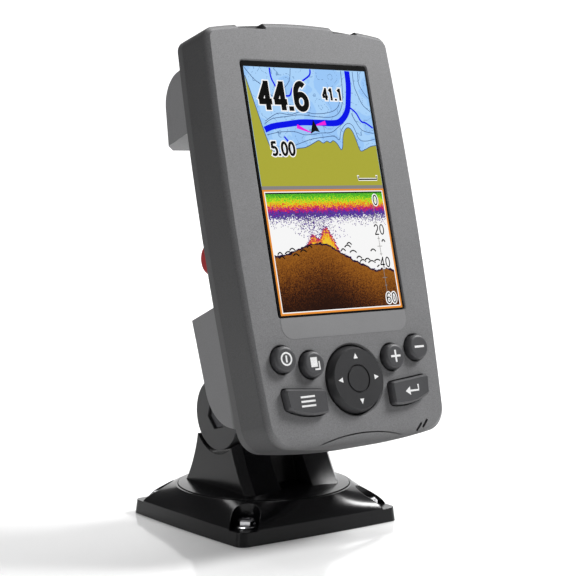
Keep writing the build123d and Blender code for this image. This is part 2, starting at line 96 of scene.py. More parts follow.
def meshFromCurve(name, curve):
    # turns a filled curve into a mesh
    holder = bpy.data.objects.new(name + "Curve", curve)
    scene.collection.objects.link(holder)
    bpy.context.view_layer.update()
    graph = bpy.context.evaluated_depsgraph_get()
    mesh = bpy.data.meshes.new_from_object(holder.evaluated_get(graph))
    mesh.name = name
    bpy.data.objects.remove(holder)
    return mesh


def drawnMesh(name, loops, thick):
    # closed outlines, filled between outer and inner loops, with a little thickness
    curve = bpy.data.curves.new(name, "CURVE")
    curve.dimensions = "2D"
    curve.fill_mode = "BOTH"
    curve.extrude = thick / 2
    for loop in loops:
        spline = curve.splines.new("POLY")
        spline.points.add(len(loop) - 1)
        for point, (x, y) in zip(spline.points, loop):
            point.co = (x, y, 0, 1)
        spline.use_cyclic_u = True
    return meshFromCurve(name, curve)


def arcPoints(cx, cy, radius, start, end, steps):
    # points along an arc, angles in degrees
    points = []
    for step in range(steps + 1):
        angle = math.radians(start + (end - start) * step / steps)
        points.append((cx + radius * math.cos(angle), cy + radius * math.sin(angle)))
    return points


def discLoop(cx, cy, radius, steps=32):
    return arcPoints(cx, cy, radius, 0, 360, steps)[:-1]


def boxLoop(x0, y0, x1, y1):
    return [(x0, y0), (x1, y0), (x1, y1), (x0, y1)]


# small helpers for shader nodes
def newMaterial(name):
    material = bpy.data.materials.new(name)
    material.use_nodes = True
    tree = material.node_tree
    shader = tree.nodes["Principled BSDF"]
    return material, tree, shader


def addNode(tree, kind, settings=None, **inputs):
    node = tree.nodes.new(kind)
    for key, value in (settings or {}).items():
        setattr(node, key, value)
    for key, value in inputs.items():
        socket = node.inputs[int(key[1:])] if key[0] == "i" and key[1:].isdigit() else node.inputs[key]
        if isinstance(value, bpy.types.NodeSocket):
            tree.links.new(value, socket)
        else:
            socket.default_value = value
    return node


def noiseNode(tree, place, size, detail=3.0, roughness=0.5):
    # size is the width of one blotch in millimetres
    return addNode(tree, "ShaderNodeTexNoise", None, Vector=place, Scale=1 / (size * mm),
                   Detail=detail, Roughness=roughness)


def rampNode(tree, factor, stops, blend="LINEAR"):
    node = addNode(tree, "ShaderNodeValToRGB", None, Fac=factor)
    ramp = node.color_ramp
    ramp.interpolation = blend
    while len(ramp.elements) > 1:
        ramp.elements.remove(ramp.elements[-1])
    ramp.elements[0].position, ramp.elements[0].color = stops[0][0], rgba(stops[0][1])
    for position, colour in stops[1:]:
        ramp.elements.new(position).color = rgba(colour)
    return node


def rgba(colour):
    if isinstance(colour, (int, float)):
        return (colour, colour, colour, 1)
    return (*colour[:3], 1)


def maths(tree, operation, a, b=0.0, c=0.0):
    node = addNode(tree, "ShaderNodeMath", {"operation": operation}, i0=a, i1=b, i2=c)
    return node.outputs["Value"]


def stretched(tree, value, fromMin, fromMax, toMin=0.0, toMax=1.0):
    # carries a value from one range to another, and holds it at the ends
    node = addNode(tree, "ShaderNodeMapRange", None, Value=value)
    for socket, end in zip(("From Min", "From Max", "To Min", "To Max"), (fromMin, fromMax, toMin, toMax)):
        node.inputs[socket].default_value = end
    return node.outputs["Result"]


def blended(tree, factor, a, b):
    node = addNode(tree, "ShaderNodeMix", {"data_type": "RGBA"}, Factor=factor)
    for value, socket in ((a, node.inputs["A"]), (b, node.inputs["B"])):
        if isinstance(value, bpy.types.NodeSocket):
            tree.links.new(value, socket)
        else:
            socket.default_value = rgba(value)
    return node.outputs["Result"]


def moulded(name, look):
    # moulded plastic or rubber: mottled colour, uneven gloss and a fine pitted skin
    material, tree, shader = newMaterial(name)
    place = addNode(tree, "ShaderNodeTexCoord").outputs["Object"]
    cloud = noiseNode(tree, place, look.get("cloudSize", 14), 4)
    grain = noiseNode(tree, place, look["grainSize"], 2, 0.6)
    dark = [c * (1 - look["vary"]) for c in look["colour"]]
    light = [min(1, c * (1 + look["vary"])) for c in look["colour"]]
    tone = rampNode(tree, cloud.outputs["Fac"], [(0.3, dark), (0.7, light)])
    fleck = look.get("speck", 0.08)
    speck = rampNode(tree, grain.outputs["Fac"], [(0.35, 1 - fleck), (0.65, 1 + fleck)])
    mixed = addNode(tree, "ShaderNodeMix", {"data_type": "RGBA", "blend_type": "MULTIPLY"}, Factor=1.0)
    tree.links.new(tone.outputs["Color"], mixed.inputs["A"])
    tree.links.new(speck.outputs["Color"], mixed.inputs["B"])
    colour = mixed.outputs["Result"]
    if look.get("shade"):
        # painted shade and light: the casing's colour is darkened or lightened by its depth behind the face,
        # standing in for how the light falls on it; from and to in mm, with a factor for each
        depth = addNode(tree, "ShaderNodeVectorMath", {"operation": "DOT_PRODUCT"}, i0=place,
                        i1=headBack / mm)
        fromFace = maths(tree, "SUBTRACT", depth.outputs["Value"], faceDepth / mm)
        shade = stretched(tree, fromFace, *look["shade"])
        paintedShadeColour = addNode(tree, "ShaderNodeVectorMath", {"operation": "SCALE"}, i0=colour, Scale=shade)
        colour = paintedShadeColour.outputs["Vector"]
    tree.links.new(colour, shader.inputs["Base Color"])
    least, most = look["rough"] - look.get("roughVary", 0.05), look["rough"] + look.get("roughVary", 0.05)
    rough = stretched(tree, cloud.outputs["Fac"], 0.0, 1.0, least, most)
    tree.links.new(rough, shader.inputs["Roughness"])
    bump = addNode(tree, "ShaderNodeBump", None, Height=grain.outputs["Fac"])
    if look.get("edge"):
        # a small soft edge, in millimetres, so corners catch the light
        soft = addNode(tree, "ShaderNodeBevel", {"samples": 6}, Radius=look["edge"] * mm)
        tree.links.new(soft.outputs["Normal"], bump.inputs["Normal"])
    bump.inputs["Strength"].default_value = look.get("bump", 0.3)
    bump.inputs["Distance"].default_value = look["grainDepth"] * mm
    tree.links.new(bump.outputs["Normal"], shader.inputs["Normal"])
    shader.inputs["Specular IOR Level"].default_value = look.get("specular", 0.5)
    return material


def metal(name, look):
    # plated or rolled metal with fine streaks
    material, tree, shader = newMaterial(name)
    place = addNode(tree, "ShaderNodeTexCoord").outputs["Object"]
    streaks = addNode(tree, "ShaderNodeMapping", None, Vector=place, Scale=(1, 1, 6))
    cloud = noiseNode(tree, streaks.outputs["Vector"], look["grainSize"], 5)
    dark = [c * 0.86 for c in look["colour"]]
    tone = rampNode(tree, cloud.outputs["Fac"], [(0.3, dark), (0.7, look["colour"])])
    tree.links.new(tone.outputs["Color"], shader.inputs["Base Color"])
    rough = stretched(tree, cloud.outputs["Fac"], 0.0, 1.0, look["rough"] * 0.75, look["rough"] * 1.3)
    tree.links.new(rough, shader.inputs["Roughness"])
    bump = addNode(tree, "ShaderNodeBump", None, Height=cloud.outputs["Fac"])
    bump.inputs["Strength"].default_value = 0.1
    bump.inputs["Distance"].default_value = 0.05 * mm
    tree.links.new(bump.outputs["Normal"], shader.inputs["Normal"])
    shader.inputs["Metallic"].default_value = 1.0
    return material


# finishes of the moulded and metal pieces
plasticLooks = {
    # the shade entries are painted light: painted shade on the bezel's sides behind the face, and on the
    # housing painted shade near the face turning to painted light further back
    "bezelGrey": {"colour": (0.185, 0.185, 0.19), "vary": 0.03, "grainSize": 0.4, "grainDepth": 0.07,
                  "shade": (0.2, 2.2, 1.0, 0.36), "rough": 0.5, "bump": 0.35, "speck": 0.16, "edge": 0.35},
    "housingGrey": {"colour": (0.2, 0.2, 0.205), "vary": 0.03, "grainSize": 0.35, "grainDepth": 0.06,
                    "shade": (21.6, 23.5, 0.5, 1.15), "rough": 0.5, "bump": 0.35, "speck": 0.08,
                    "edge": 0.35},
    "baseGloss": {"colour": (0.006, 0.006, 0.007), "vary": 0.1, "grainSize": 6.0, "grainDepth": 0.02,
                  "rough": 0.2, "roughVary": 0.04, "bump": 0.03, "speck": 0.02, "edge": 0.45,
                  "specular": 0.35},
    "cradleBlack": {"colour": (0.045, 0.045, 0.047), "vary": 0.05, "grainSize": 0.3, "grainDepth": 0.04,
                    "rough": 0.42, "bump": 0.3, "edge": 0.4},
    "releaseRed": {"colour": (0.42, 0.008, 0.012), "vary": 0.06, "grainSize": 0.4, "grainDepth": 0.03,
                   "rough": 0.32, "bump": 0.2},
    "keyRubber": {"colour": (0.058, 0.058, 0.062), "vary": 0.05, "grainSize": 0.22, "grainDepth": 0.04,
                  "rough": 0.45, "bump": 0.3, "speck": 0.12},
    "padRubber": {"colour": (0.03, 0.03, 0.032), "vary": 0.05, "grainSize": 0.22, "grainDepth": 0.04,
                  "rough": 0.4, "bump": 0.3, "speck": 0.12},
    "sealRubber": {"colour": (0.015, 0.015, 0.015), "vary": 0.1, "grainSize": 0.5, "grainDepth": 0.04,
                   "rough": 0.7},
    "socketBlack": {"colour": (0.02, 0.02, 0.022), "vary": 0.05, "grainSize": 0.3, "grainDepth": 0.04,
                    "rough": 0.4},
    "boardGreen": {"colour": (0.02, 0.16, 0.06), "vary": 0.15, "grainSize": 1.5, "grainDepth": 0.05,
                   "rough": 0.35, "cloudSize": 5},
    "chipBlack": {"colour": (0.02, 0.02, 0.02), "vary": 0.1, "grainSize": 0.2, "grainDepth": 0.03,
                  "rough": 0.6},
    "lightGuide": {"colour": (0.8, 0.8, 0.82), "vary": 0.03, "grainSize": 1.0, "grainDepth": 0.02,
                   "rough": 0.2},
    "ceramicPatch": {"colour": (0.55, 0.5, 0.42), "vary": 0.05, "grainSize": 0.3, "grainDepth": 0.03,
                     "rough": 0.5},
    "ribbonAmber": {"colour": (0.42, 0.17, 0.03), "vary": 0.1, "grainSize": 0.8, "grainDepth": 0.03,
                    "rough": 0.3},
    "padSilicone": {"colour": (0.09, 0.09, 0.1), "vary": 0.05, "grainSize": 0.4, "grainDepth": 0.03,
                    "rough": 0.6},
    "pivotPlastic": {"colour": (0.7, 0.7, 0.68), "vary": 0.03, "grainSize": 0.4, "grainDepth": 0.02,
                     "rough": 0.4},
    "maskBlack": {"colour": (0.004, 0.004, 0.004), "vary": 0.1, "grainSize": 4.0, "grainDepth": 0.01,
                  "rough": 0.15, "bump": 0.03},
    "panelGrey": {"colour": (0.25, 0.25, 0.255), "vary": 0.03, "grainSize": 0.5, "grainDepth": 0.02,
                  "rough": 0.34, "bump": 0.12, "speck": 0.03},
    "legendWhite": {"colour": (0.86, 0.86, 0.86), "vary": 0.03, "grainSize": 0.4, "grainDepth": 0.02,
                    "rough": 0.5, "bump": 0.1},
}
metalLooks = {
    "screwBright": {"colour": (0.78, 0.78, 0.8), "grainSize": 1.2, "rough": 0.14},
    "boltDark": {"colour": (0.07, 0.07, 0.075), "grainSize": 0.9, "rough": 0.34},
    "washerSteel": {"colour": (0.55, 0.55, 0.56), "grainSize": 0.8, "rough": 0.32},
    "springSteel": {"colour": (0.32, 0.33, 0.36), "grainSize": 1.0, "rough": 0.28},
    "traySteel": {"colour": (0.6, 0.6, 0.6), "grainSize": 2.0, "rough": 0.35},
    "pinGold": {"colour": (0.85, 0.62, 0.25), "grainSize": 1.0, "rough": 0.2},
}
finish = {name: moulded(name, look) for name, look in plasticLooks.items()}
finish.update({name: metal(name, look) for name, look in metalLooks.items()})

nodeFinish = {
    "front_bezel": "bezelGrey", "rear_housing": "housingGrey", "base_plate": "baseGloss",
    "swivel_yoke": "baseGloss", "cradle_frame": "cradleBlack", "release_button_left": "releaseRed",
    "release_button_right": "releaseRed", "lens_window": "maskBlack", "window_gasket": "sealRubber",
    "housing_seal": "sealRubber", "connector_seal": "sealRubber", "connector_socket": "socketBlack",
    "connector_pins": "pinGold", "main_board": "boardGreen", "key_board": "boardGreen",
    "led_strip": "boardGreen", "board_chips": "chipBlack", "buzzer": "chipBlack",
    "light_guide": "lightGuide", "lcd_panel": "maskBlack", "lcd_tray": "traySteel",
    "shield_can": "traySteel", "gps_patch": "ceramicPatch", "display_ribbon": "ribbonAmber",
    "keypad_mat": "padSilicone", "cursor_pivot": "pivotPlastic", "cursor_pad": "padRubber",
    "power_key": "keyRubber", "pages_key": "keyRubber", "zoom_in_key": "keyRubber",
    "zoom_out_key": "keyRubber", "menu_key": "keyRubber", "enter_key": "keyRubber",
    "friction_washers": "washerSteel", "swivel_washer": "washerSteel", "latch_spring": "springSteel",
    "housing_screws": "screwBright", "swivel_screws": "screwBright", "board_screws": "screwBright",
    "tilt_bolt": "boltDark", "tilt_nut": "boltDark",
}
for nodeName, finishName in nodeFinish.items():
    nodes[nodeName].data.materials.clear()
    nodes[nodeName].data.materials.append(finish[finishName])
print("finishes on", len(nodeFinish), "CAD nodes")


# lines and letters for the display and the keys, drawn across and up the face in mm
def smoothLine(points, steps=6):
    # rounded line through the given points
    line = []
    last = len(points) - 1
    for index in range(last):
        p0, p1 = points[max(index - 1, 0)], points[index]
        p2, p3 = points[index + 1], points[min(index + 2, last)]
        for step in range(steps):
            t = step / steps
            line.append(tuple(0.5 * (2 * p1[k] + (p2[k] - p0[k]) * t
                                     + (2 * p0[k] - 5 * p1[k] + 4 * p2[k] - p3[k]) * t * t
                                     + (3 * p1[k] - p0[k] - 3 * p2[k] + p3[k]) * t ** 3) for k in (0, 1)))
    return line + [points[-1]]


def strokeLoop(line, width, endWidth=None):
    # closed outline of a stroke, with an even or a changing width
    left, right = [], []
    for index, (x, y) in enumerate(line):
        x0, y0 = line[max(index - 1, 0)]
        x1, y1 = line[min(index + 1, len(line) - 1)]
        reach = math.hypot(x1 - x0, y1 - y0) or 1.0
        half = width / 2
        if endWidth is not None:
            half += (endWidth - width) / 2 * index / (len(line) - 1)
        nx, ny = -(y1 - y0) / reach * half, (x1 - x0) / reach * half
        left.append((x + nx, y + ny))
        right.append((x - nx, y - ny))
    return left + right[::-1]


def addDrawing(name, loops, material, depth, body="head", thick=0.03):
    return addPiece(name, drawnMesh(name, loops, thick), material, body, onFace(depth), smooth=False)


def joinMeshes(name, meshes):
    bm = bmesh.new()
    for mesh in meshes:
        bm.from_mesh(mesh)
        bpy.data.meshes.remove(mesh)
    joined = bpy.data.meshes.new(name)
    bm.to_mesh(joined)
    bm.free()
    return joined


def ribbonMesh(lines, width):
    # flat strips along open or closed lines, given as (points, closed)
    bm = bmesh.new()
    for line, closed in lines:
        count = len(line)
        pairs = []
        for index, (x, y) in enumerate(line):
            x0, y0 = line[index - 1] if closed or index else line[0]
            x1, y1 = line[(index + 1) % count] if closed or index < count - 1 else line[-1]
            reach = math.hypot(x1 - x0, y1 - y0)
            nx, ny = -(y1 - y0) / reach * width / 2, (x1 - x0) / reach * width / 2
            pairs.append((bm.verts.new((x + nx, y + ny, 0)), bm.verts.new((x - nx, y - ny, 0))))
        for (a, b), (c, d) in zip(pairs, pairs[1:] + (pairs[:1] if closed else [])):
            bm.faces.new((a, b, d, c))
    mesh = bpy.data.meshes.new("ribbon")
    bm.to_mesh(mesh)
    bm.free()
    return mesh


def ovalLine(middle, tall):
    return [(0.28 + 0.2 * math.cos(math.tau * k / 24), middle + tall * math.sin(math.tau * k / 24))
            for k in range(24)]


# centre lines of the numbers in a box one unit high, as (points, closed, rounded)
numberLines = {
    "0": [(ovalLine(0.5, 0.42), True, False)],
    "1": [([(0.28, 0.02), (0.28, 0.98)], False, False), ([(0.1, 0.74), (0.3, 0.92)], False, False)],
    "2": [([(0.1, 0.74), (0.14, 0.86), (0.28, 0.92), (0.42, 0.86), (0.46, 0.7), (0.4, 0.52), (0.22, 0.28),
            (0.1, 0.08)], False, True),
          ([(0.06, 0.08), (0.5, 0.08)], False, False)],
    "4": [([(0.38, 0.02), (0.38, 0.98)], False, False), ([(0.4, 0.94), (0.08, 0.34)], False, False),
          ([(0.03, 0.3), (0.54, 0.3)], False, False)],
    "5": [([(0.46, 0.92), (0.12, 0.92)], False, False), ([(0.14, 0.96), (0.12, 0.52)], False, False),
          ([(0.12, 0.54), (0.24, 0.6), (0.38, 0.56), (0.47, 0.42), (0.46, 0.22), (0.36, 0.1), (0.24, 0.08),
            (0.1, 0.14)], False, True)],
    "6": [(ovalLine(0.32, 0.24), True, False),
          ([(0.44, 0.84), (0.34, 0.92), (0.2, 0.86), (0.1, 0.66), (0.08, 0.36)], False, True)],
    ".": [([(0.08, 0.01), (0.08, 0.16)], False, False)],
}
letterStep = {"number": 0.6, "point": 0.24}  # how far the next one stands, in heights


def addNumbers(name, plans, depth):
    # black numbers with a white edge, as (text, across, up, height, stroke)
    looks = (("Edge", displayPlan["numberEdge"] * 2, screenWhite, 0), ("Ink", 0, screenBlack, 0.04))
    for suffix, extra, material, lift in looks:
        meshes = []
        for text, x, y, height, stroke in plans:
            for letter in text:
                lines = []
                for points, closed, rounded in numberLines[letter]:
                    line = smoothLine(points, 4) if rounded else points
                    if extra and not closed:
                        line = lengthened(line, extra / 2 / height)
                    lines.append(([(x + px * height, y + py * height) for px, py in line], closed))
                meshes.append(ribbonMesh(lines, stroke + extra))
                x += height * letterStep["point" if letter == "." else "number"]
        mesh = joinMeshes(name + suffix, meshes)
        addPiece(name + suffix, mesh, material, "head", onFace(depth - lift), False)


def lengthened(line, extra):
    # the same line, run on a little at both ends
    (ax, ay), (bx, by) = line[0], line[1]
    (cx, cy), (dx, dy) = line[-2], line[-1]
    first, last = math.hypot(ax - bx, ay - by), math.hypot(dx - cx, dy - cy)
    start = (ax + (ax - bx) / first * extra, ay + (ay - by) / first * extra)
    end = (dx + (dx - cx) / last * extra, dy + (dy - cy) / last * extra)
    return [start] + line + [end]


# materials of the lit display
def facePlace(tree):
    # distances across and up the face in mm, snapped to the display's own dots
    place = addNode(tree, "ShaderNodeTexCoord").outputs["Object"]
    across = addNode(tree, "ShaderNodeVectorMath", {"operation": "DOT_PRODUCT"}, i0=place, i1=headAcross / mm)
    up = addNode(tree, "ShaderNodeVectorMath", {"operation": "DOT_PRODUCT"}, i0=place, i1=headUp / mm)
    upFace = maths(tree, "SUBTRACT", up.outputs["Value"], faceMiddle / mm)
    both = addNode(tree, "ShaderNodeCombineXYZ", None, X=across.outputs["Value"], Y=upFace, Z=0.0)
    dots = addNode(tree, "ShaderNodeVectorMath", {"operation": "SNAP"}, i0=both.outputs["Vector"],
                   i1=(displayPlan["dot"], displayPlan["dot"], 1))
    return dots.outputs["Vector"]


def lineCurve(tree, across, points):
    # height of a drawn line above each place across, both 0 to 1
    node = addNode(tree, "ShaderNodeFloatCurve", None, Value=across)
    curve = node.mapping.curves[0]
    curve.points[0].location = points[0]
    curve.points[1].location = points[-1]
    for point in points[1:-1]:
        curve.points.new(*point)
    node.mapping.update()
    return node.outputs["Value"]


def litFilm(name, colour, vary=0.03):
    # one flat colour of the display, with faint dots
    material, tree, shader = newMaterial(name)
    dots = facePlace(tree)
    grain = addNode(tree, "ShaderNodeTexWhiteNoise", {"noise_dimensions": "2D"}, Vector=dots)
    dark = [c * (1 - vary) for c in colour]
    tone = rampNode(tree, grain.outputs["Value"], [(0, dark), (1, colour)])
    lightUp(tree, shader, tone.outputs["Color"])
    return material


def lightUp(tree, shader, colour):
    tree.links.new(colour, shader.inputs["Emission Color"])
    shader.inputs["Emission Strength"].default_value = displayPlan["glow"]
    shader.inputs["Base Color"].default_value = (0.001, 0.001, 0.001, 1)
    shader.inputs["Roughness"].default_value = displayPlan["rough"]
    shader.inputs["Specular IOR Level"].default_value = displayPlan["specular"]


displayPlan = {
    "dot": 0.3, "glow": 0.95, "left": -29.9, "right": 29.9, "top": 56.2, "bottom": -40.6,
    "split": 8.4, "splitHeight": 1.4, "numberEdge": 0.45, "rough": 0.12, "specular": 0.2,
    "water": (0.34, 0.60, 0.98), "shallow": (0.42, 0.68, 1.0), "land": (0.43, 0.42, 0.045),
    "channel": (0.0, 0.005, 0.86), "chartLine": (0.035, 0.08, 0.22), "marker": (0.92, 0.02, 0.75),
    "orange": (0.85, 0.30, 0.04), "mapGrey": (0.26, 0.25, 0.24),
}
# how far each drawn layer lies behind the face, in mm: the nearer ones cover the others
layer = {"picture": 0.16, "band": 0.15, "faint": 0.14, "area": 0.13, "stream": 0.125, "line": 0.12,
         "scale": 0.115, "edge": 0.11, "mark": 0.10, "number": 0.09, "ink": 0.08}
screenWhite = litFilm("screenWhite", (1.0, 1.0, 1.0), 0.01)
screenBlack = litFilm("screenBlack", (0.004, 0.004, 0.004))
screenLand = litFilm("screenLand", displayPlan["land"])
screenChannel = litFilm("screenChannel", displayPlan["channel"])
screenLine = litFilm("screenLine", displayPlan["chartLine"])
screenMarker = litFilm("screenMarker", displayPlan["marker"])
screenOrange = litFilm("screenOrange", displayPlan["orange"])
screenGrey = litFilm("screenGrey", displayPlan["mapGrey"])


def waterFilm():
    # open water: two near blues in broad patches with faint depth lines
    material, tree, shader = newMaterial("screenWater")
    dots = facePlace(tree)
    patch = addNode(tree, "ShaderNodeTexNoise", None, Vector=dots, Scale=0.07, Detail=2.0)
    blues = [(0.46, displayPlan["water"]), (0.5, displayPlan["shallow"])]
    tone = rampNode(tree, patch.outputs["Fac"], blues, "CONSTANT")
    lines = maths(tree, "PINGPONG", patch.outputs["Fac"], 0.045)
    isLine = maths(tree, "LESS_THAN", lines, 0.0022)
    mixed = blended(tree, isLine, tone.outputs["Color"], (0.20, 0.36, 0.62))
    lightUp(tree, shader, mixed)
    return material


# upper half of the display: a chart, its lines in mm across and up the face
chartPlan = {
    "wedge": [(-29.8, 52.5), (-28.2, 46), (-26.6, 39), (-25, 32), (-23.6, 26.5), (-22.5, 23.4)],
    "coast": [(-22.5, 23.4), (-18, 20.6), (-14, 22), (-10.4, 23.8), (-6, 24.4), (-2, 26), (1, 27.2),
              (3, 26.2), (5, 27), (6.6, 26.4), (8.2, 27.2), (10, 26), (11.5, 23.6), (12.6, 25),
              (13.6, 29.2), (15.4, 32), (17.4, 32.5), (19, 30.6), (20.2, 26.6), (21.4, 23.2), (24, 23.8),
              (27, 25), (29.8, 25.4)],
    "river": [(-24.2, 31.2), (-20, 32.6), (-13, 33.6), (-6, 34.4), (2, 34.4), (9, 34.3), (12.6, 34.8),
              (15.6, 36.8), (18, 40), (19.3, 44.6), (20.4, 50), (20.8, 56)],
    "streams": [
        [(-17.6, 56), (-17.6, 53), (-16.8, 50.2), (-14, 46), (-10, 45), (-7.6, 48.4), (-2.8, 51), (1.4, 53.6),
         (2.2, 56)],
        [(18.6, 41.4), (22, 38.8), (24, 35.4), (26.4, 34.6), (29.6, 32.6)],
        [(-15.5, 28.6), (-14, 26.8), (-12.5, 24.6)],
    ],
    "contours": [
        [(-24, 33.4), (-20, 35.6), (-13, 36.6), (-6, 37.4), (2, 36.8), (9, 36.8), (13, 38.4), (15.6, 42),
         (17, 48), (17.6, 56)],
        [(-23.4, 34.6), (-17, 37.8), (-11, 37.4), (-5, 38.8), (1, 38), (8, 38.6), (12.6, 40.4), (15, 44),
         (15.8, 48)],
        [(-23.6, 29.2), (-17, 30.4), (-10, 30.6), (-5, 29.4), (2, 30.2), (8, 30.6), (12, 32.8), (15, 34.6)],
        [(-12, 24.8), (-7, 26.4), (-2, 27.8), (4, 28.6), (9, 29), (11.4, 27.6), (13, 31.2), (16.4, 34.2),
         (19.4, 33.4), (21.6, 28), (25, 27.2), (29.6, 28)],
        [(-29.8, 56), (-26, 51.5), (-22, 48.5), (-17, 44), (-13, 47), (-9, 51), (-7.5, 56)],
        [(23.6, 56), (23.4, 50), (24.6, 46), (26.4, 42), (29.6, 39.4)],
        [(26.4, 56), (26, 51), (27.6, 47.6), (29.6, 45)],
        [(19.6, 38.6), (21.4, 35), (24, 31.6), (29.6, 30.4)],
    ],
    "boat": [(-2.4, 29.9), (0, 31), (2.2, 30.6), (-0.3, 35.6)],
    "behindBoat": [(-8.6, 32.8), (-5.6, 31.6), (-2.2, 30.4)], "beforeBoat": [(1.0, 33.4), (5.8, 34.4)],
    "shoreWidth": 0.3, "riverWidth": (2.4, 2.6), "streamWidth": 0.7, "contourWidth": 0.24,
    "bar": {"left": 18, "right": 27.4, "low": 11.5, "ink": (1.3, 0.55), "edge": (1.7, 1.15)},
    # text, place across, place up, height, stroke
    "numbers": [("44.6", -25.3, 38.8, 12.1, 2.4), ("41.1", 6.2, 43.5, 5.2, 1.05),
                ("5.00", -22.8, 20.9, 5.8, 1.1)],
}


def barLoop(look):
    # the scale bar with its turned-up ends
    bar = chartPlan["bar"]
    rise, width = bar[look]
    line = [(bar["left"], bar["low"] + rise), (bar["left"], bar["low"]), (bar["right"], bar["low"]),
            (bar["right"], bar["low"] + rise)]
    return strokeLoop(line, width)


def addChart():
    left, right, top = displayPlan["left"], displayPlan["right"], displayPlan["top"]
    low = displayPlan["split"] + displayPlan["splitHeight"] / 2
    addDrawing("chartWater", [boxLoop(left, low, right, top)], waterFilm(), layer["picture"])
    shore = smoothLine(chartPlan["wedge"]) + smoothLine(chartPlan["coast"])[1:]
    land = shore + [(shore[-1][0], low), (shore[0][0], low)]
    addDrawing("chartLand", [land], screenLand, layer["area"])
    addDrawing("chartShore", [strokeLoop(shore, chartPlan["shoreWidth"])], screenLine, layer["edge"])
    river = strokeLoop(smoothLine(chartPlan["river"]), *chartPlan["riverWidth"])
    addDrawing("chartRiver", [river], screenChannel, layer["line"])
    streams = [strokeLoop(smoothLine(line), chartPlan["streamWidth"]) for line in chartPlan["streams"]]
    addDrawing("chartStreams", streams, screenChannel, layer["stream"])
    marks = [strokeLoop(chartPlan["behindBoat"], 1.7, 0.3), strokeLoop(chartPlan["beforeBoat"], 0.5, 1.8)]
    addDrawing("chartMarks", marks, screenMarker, layer["mark"])
    addDrawing("chartBoat", [chartPlan["boat"]], screenBlack, layer["ink"])
    contours = [strokeLoop(smoothLine(line), chartPlan["contourWidth"]) for line in chartPlan["contours"]]
    addDrawing("chartContours", contours, screenLine, layer["faint"])
    addDrawing("chartBar", [barLoop("ink")], screenBlack, layer["ink"])
    addDrawing("chartBarEdge", [barLoop("edge")], screenWhite, layer["edge"])
    addNumbers("chartNumbers", chartPlan["numbers"], layer["number"])


# lower half of the display: the sonar picture
sonarPlan = {
    "frame": 0.75, "inner": 0.4,
    "ground": [(0, 0.53), (0.1, 0.52), (0.22, 0.475), (0.35, 0.44), (0.44, 0.45), (0.52, 0.5), (0.62, 0.57),
               (0.75, 0.645), (0.85, 0.69), (0.92, 0.675), (1, 0.71)],
    "weed": [(0, 0.55), (0.24, 0.5), (0.29, 0.42), (0.34, 0.36), (0.39, 0.39), (0.42, 0.33), (0.455, 0.3),
             (0.49, 0.35), (0.52, 0.43), (0.58, 0.55), (1, 0.75)],
    "clutterTones": [(0.0, (0.05, 0.34, 0.03)), (0.2, (0.14, 0.66, 0.02)), (0.34, (0.70, 0.80, 0.02)),
                     (0.44, (0.95, 0.40, 0.01)), (0.53, (0.80, 0.03, 0.02)), (0.66, (0.40, 0.01, 0.20)),
                     (0.78, (0.09, 0.02, 0.40)), (0.98, (0.10, 0.08, 0.30)), (1.0, (0.97, 0.97, 0.97))],
    "speckTones": [(0.4, (0.03, 0.03, 0.05)), (0.55, (0.12, 0.05, 0.35))],
    "weedTones": [(0.0, (0.08, 0.02, 0.22)), (0.22, (0.5, 0.01, 0.12)), (0.42, (0.85, 0.12, 0.02)),
                  (0.6, (0.9, 0.65, 0.02)), (0.9, (0.85, 0.5, 0.05))],
    "soilTones": [(0.0, (0.33, 0.115, 0.012)), (0.3, (0.22, 0.07, 0.008)), (0.6, (0.09, 0.024, 0.005)),
                  (0.95, (0.02, 0.006, 0.003))],
    "rimTone": (0.02, 0.005, 0.03), "rimWidth": 0.008, "topLine": 0.5,
    # place across, place up, width of each fish arch
    "arches": [(7, -15, 3.0), (9.4, -17.2, 3.4), (4.6, -16.4, 2.2), (19.6, -17, 2.6), (16, -20.6, 2.8),
               (21, -21.2, 3.6), (12, -19.6, 2.6), (-22, -16.6, 3.4), (-18.6, -17.6, 2.8),
               (-25.4, -18.4, 2.6), (-14.8, -16.2, 3.0), (22, -23.4, 3.2), (25.6, -13.4, 1.6),
               (8, -14, 2.4), (18, -21.6, 3.6), (24, -22.4, 2.8), (13.6, -21, 3.0), (-20, -15.4, 2.6),
               (-26, -16.8, 2.2), (-11.6, -14.6, 2.4)],
    "archStroke": 0.5,
    # depth scale: place across, half width of the line, marks and their spacing
    "scale": 23.4, "scaleLine": 0.1, "scaleTop": 3.4, "scaleStep": 3.15, "scaleMarks": 11,
    "shortMark": 0.6, "longMark": 1.2, "markHeight": 0.22,
    # text, place across, distance below the picture's top
    "numbers": [("0", 23.4, 5.8), ("20", 21.6, 17.8), ("40", 22.0, 31.0), ("60", 22.4, 45.3)],
    "numberHeight": 4.6, "numberStroke": 0.5,
}


